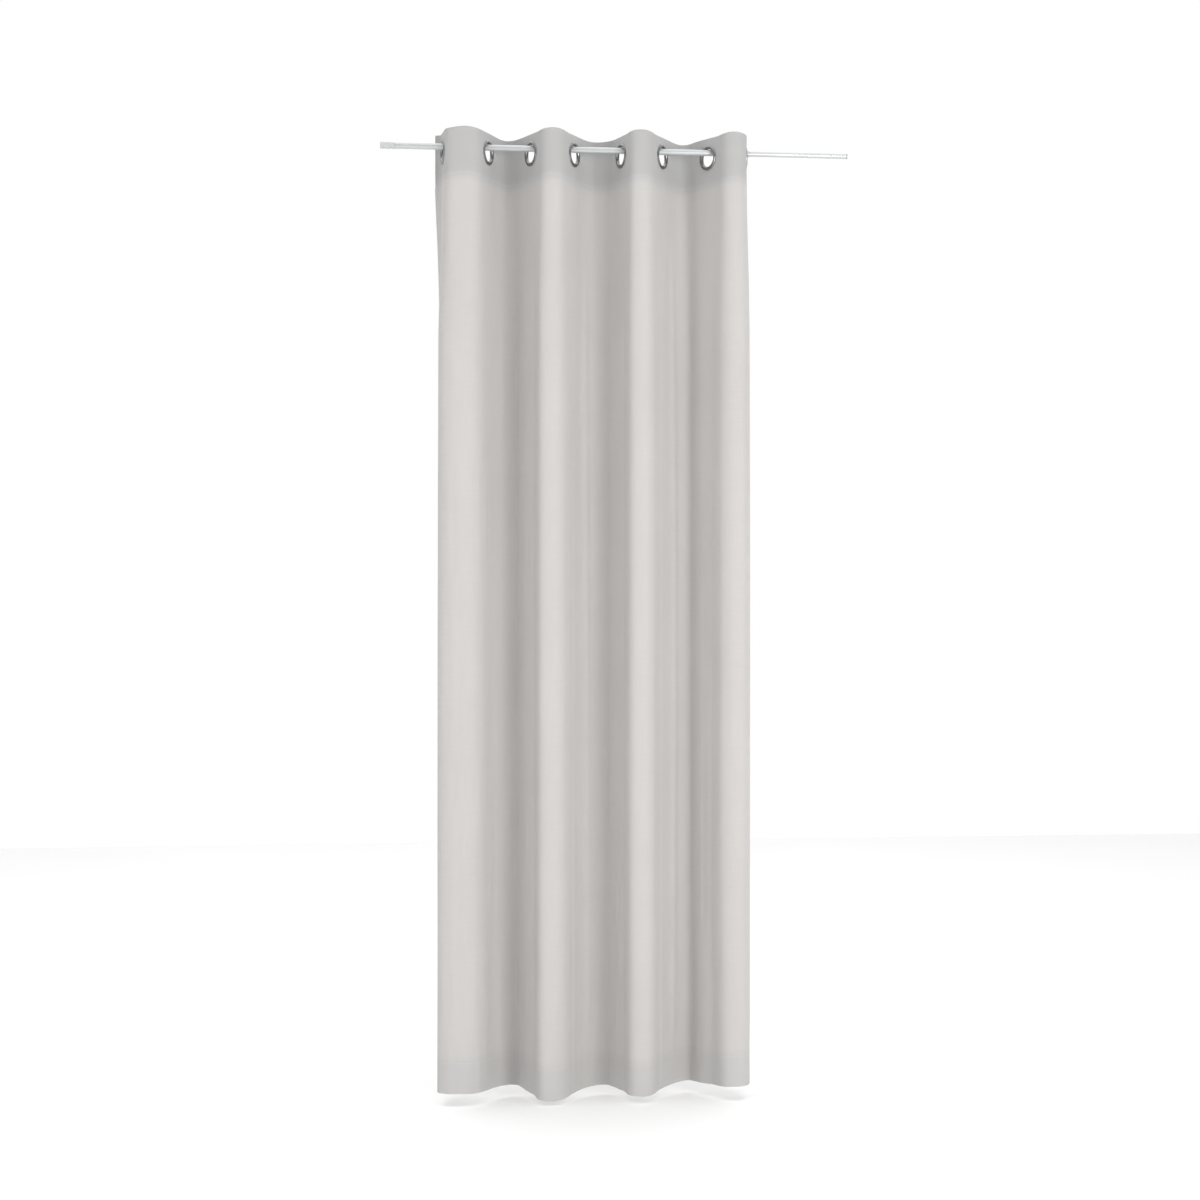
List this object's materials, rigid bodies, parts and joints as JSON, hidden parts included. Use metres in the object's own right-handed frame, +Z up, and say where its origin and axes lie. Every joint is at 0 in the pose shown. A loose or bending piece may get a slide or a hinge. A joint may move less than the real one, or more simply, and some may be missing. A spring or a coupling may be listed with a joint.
{
  "type": "eyelet curtain panel on a rod",
  "caption": "Full-length fabric curtain panel with metal eyelets, hanging in even folds from a telescopic rod; it draws together like a concertina along the rod.",
  "frame": {"origin": "on the rod's axis, midway between the two outer eyelets of the hung panel", "axes": "+X along the rod to the right as the panel is seen from the room, -Y towards the room, +Z up"},
  "size_m": [1.2103, 0.1375, 2.45],
  "materials": {
    "curtain_fabric": "matt, plain weave",
    "stiffener": "matt, non-woven",
    "label_tape": "satin, blank",
    "eyelet_metal": "dark nickel",
    "rod_metal": "satin silver",
    "cap_plastic": "satin silver"
  },
  "bodies": {
    "rod": {"rod_outer_tube": "rod_metal", "rod_end_cap": "cap_plastic"},
    "rod_extension": {"rod_inner_tube": "rod_metal", "rod_end_plug": "cap_plastic"},
    "left_edge": {"panel_edge_left": "curtain_fabric", "side_hem_left": "curtain_fabric"},
    "strip_1": {"panel_strip_1": "curtain_fabric", "heading_stiffener_1": "stiffener", "heading_band_1": "curtain_fabric", "bottom_hem_1": "curtain_fabric", "eyelet_front_ring_1": "eyelet_metal", "eyelet_back_ring_1": "eyelet_metal", "care_label": "label_tape"},
    "strip_2": {"panel_strip_2": "curtain_fabric", "heading_stiffener_2": "stiffener", "heading_band_2": "curtain_fabric", "bottom_hem_2": "curtain_fabric", "eyelet_front_ring_2": "eyelet_metal", "eyelet_back_ring_2": "eyelet_metal"},
    "strip_3": {"panel_strip_3": "curtain_fabric", "heading_stiffener_3": "stiffener", "heading_band_3": "curtain_fabric", "bottom_hem_3": "curtain_fabric", "eyelet_front_ring_3": "eyelet_metal", "eyelet_back_ring_3": "eyelet_metal"},
    "strip_4": {"panel_strip_4": "curtain_fabric", "heading_stiffener_4": "stiffener", "heading_band_4": "curtain_fabric", "bottom_hem_4": "curtain_fabric", "eyelet_front_ring_4": "eyelet_metal", "eyelet_back_ring_4": "eyelet_metal"},
    "strip_5": {"panel_strip_5": "curtain_fabric", "heading_stiffener_5": "stiffener", "heading_band_5": "curtain_fabric", "bottom_hem_5": "curtain_fabric", "eyelet_front_ring_5": "eyelet_metal", "eyelet_back_ring_5": "eyelet_metal"},
    "strip_6": {"panel_strip_6": "curtain_fabric", "heading_stiffener_6": "stiffener", "heading_band_6": "curtain_fabric", "bottom_hem_6": "curtain_fabric", "eyelet_front_ring_6": "eyelet_metal", "eyelet_back_ring_6": "eyelet_metal"},
    "strip_7": {"panel_strip_7": "curtain_fabric", "heading_stiffener_7": "stiffener", "heading_band_7": "curtain_fabric", "bottom_hem_7": "curtain_fabric", "eyelet_front_ring_7": "eyelet_metal", "eyelet_back_ring_7": "eyelet_metal"},
    "strip_8": {"panel_strip_8": "curtain_fabric", "heading_stiffener_8": "stiffener", "heading_band_8": "curtain_fabric", "bottom_hem_8": "curtain_fabric", "eyelet_front_ring_8": "eyelet_metal", "eyelet_back_ring_8": "eyelet_metal", "panel_edge_right": "curtain_fabric", "side_hem_right": "curtain_fabric"}
  },
  "joints": [
    {"name": "rod_telescope", "type": "slide", "parent": "rod", "child": "rod_extension", "axis": [1, 0, 0], "range_m": [-0.06, 0.4]},
    {"name": "panel_slide", "type": "slide", "parent": "rod", "child": "left_edge", "axis": [1, 0, 0], "range_m": [-0.1, 0.06]},
    {"name": "draw", "type": "hinge", "parent": "left_edge", "child": "strip_1", "pos_m": [-0.3905, 0, 0], "axis": [0, 0, -1], "range_deg": [-8, 24]},
    {"name": "fold_1", "type": "hinge", "parent": "strip_1", "child": "strip_2", "pos_m": [-0.333, -0.05553, 0], "axis": [0, 0, 1], "range_deg": [-16.5, 48.5]},
    {"name": "fold_2", "type": "hinge", "parent": "strip_2", "child": "strip_3", "pos_m": [-0.2205, 0.06656, 0], "axis": [0, 0, -1], "range_deg": [-16.5, 48.5]},
    {"name": "fold_3", "type": "hinge", "parent": "strip_3", "child": "strip_4", "pos_m": [-0.11, -0.06665, 0], "axis": [0, 0, 1], "range_deg": [-16.5, 48.5]},
    {"name": "fold_4", "type": "hinge", "parent": "strip_4", "child": "strip_5", "pos_m": [0.0065, 0.05737, 0], "axis": [0, 0, -1], "range_deg": [-16.5, 48.5]},
    {"name": "fold_5", "type": "hinge", "parent": "strip_5", "child": "strip_6", "pos_m": [0.1205, -0.06771, 0], "axis": [0, 0, 1], "range_deg": [-16.5, 48.5]},
    {"name": "fold_6", "type": "hinge", "parent": "strip_6", "child": "strip_7", "pos_m": [0.2335, 0.06388, 0], "axis": [0, 0, -1], "range_deg": [-16.5, 48.5]},
    {"name": "fold_7", "type": "hinge", "parent": "strip_7", "child": "strip_8", "pos_m": [0.342, -0.06751, 0], "axis": [0, 0, 1], "range_deg": [-16.5, 48.5]}
  ],
  "couplings": [
    {"joint": "fold_1", "follows": "draw", "ratio": 2},
    {"joint": "fold_2", "follows": "draw", "ratio": 2},
    {"joint": "fold_3", "follows": "draw", "ratio": 2},
    {"joint": "fold_4", "follows": "draw", "ratio": 2},
    {"joint": "fold_5", "follows": "draw", "ratio": 2},
    {"joint": "fold_6", "follows": "draw", "ratio": 2},
    {"joint": "fold_7", "follows": "draw", "ratio": 2}
  ]
}
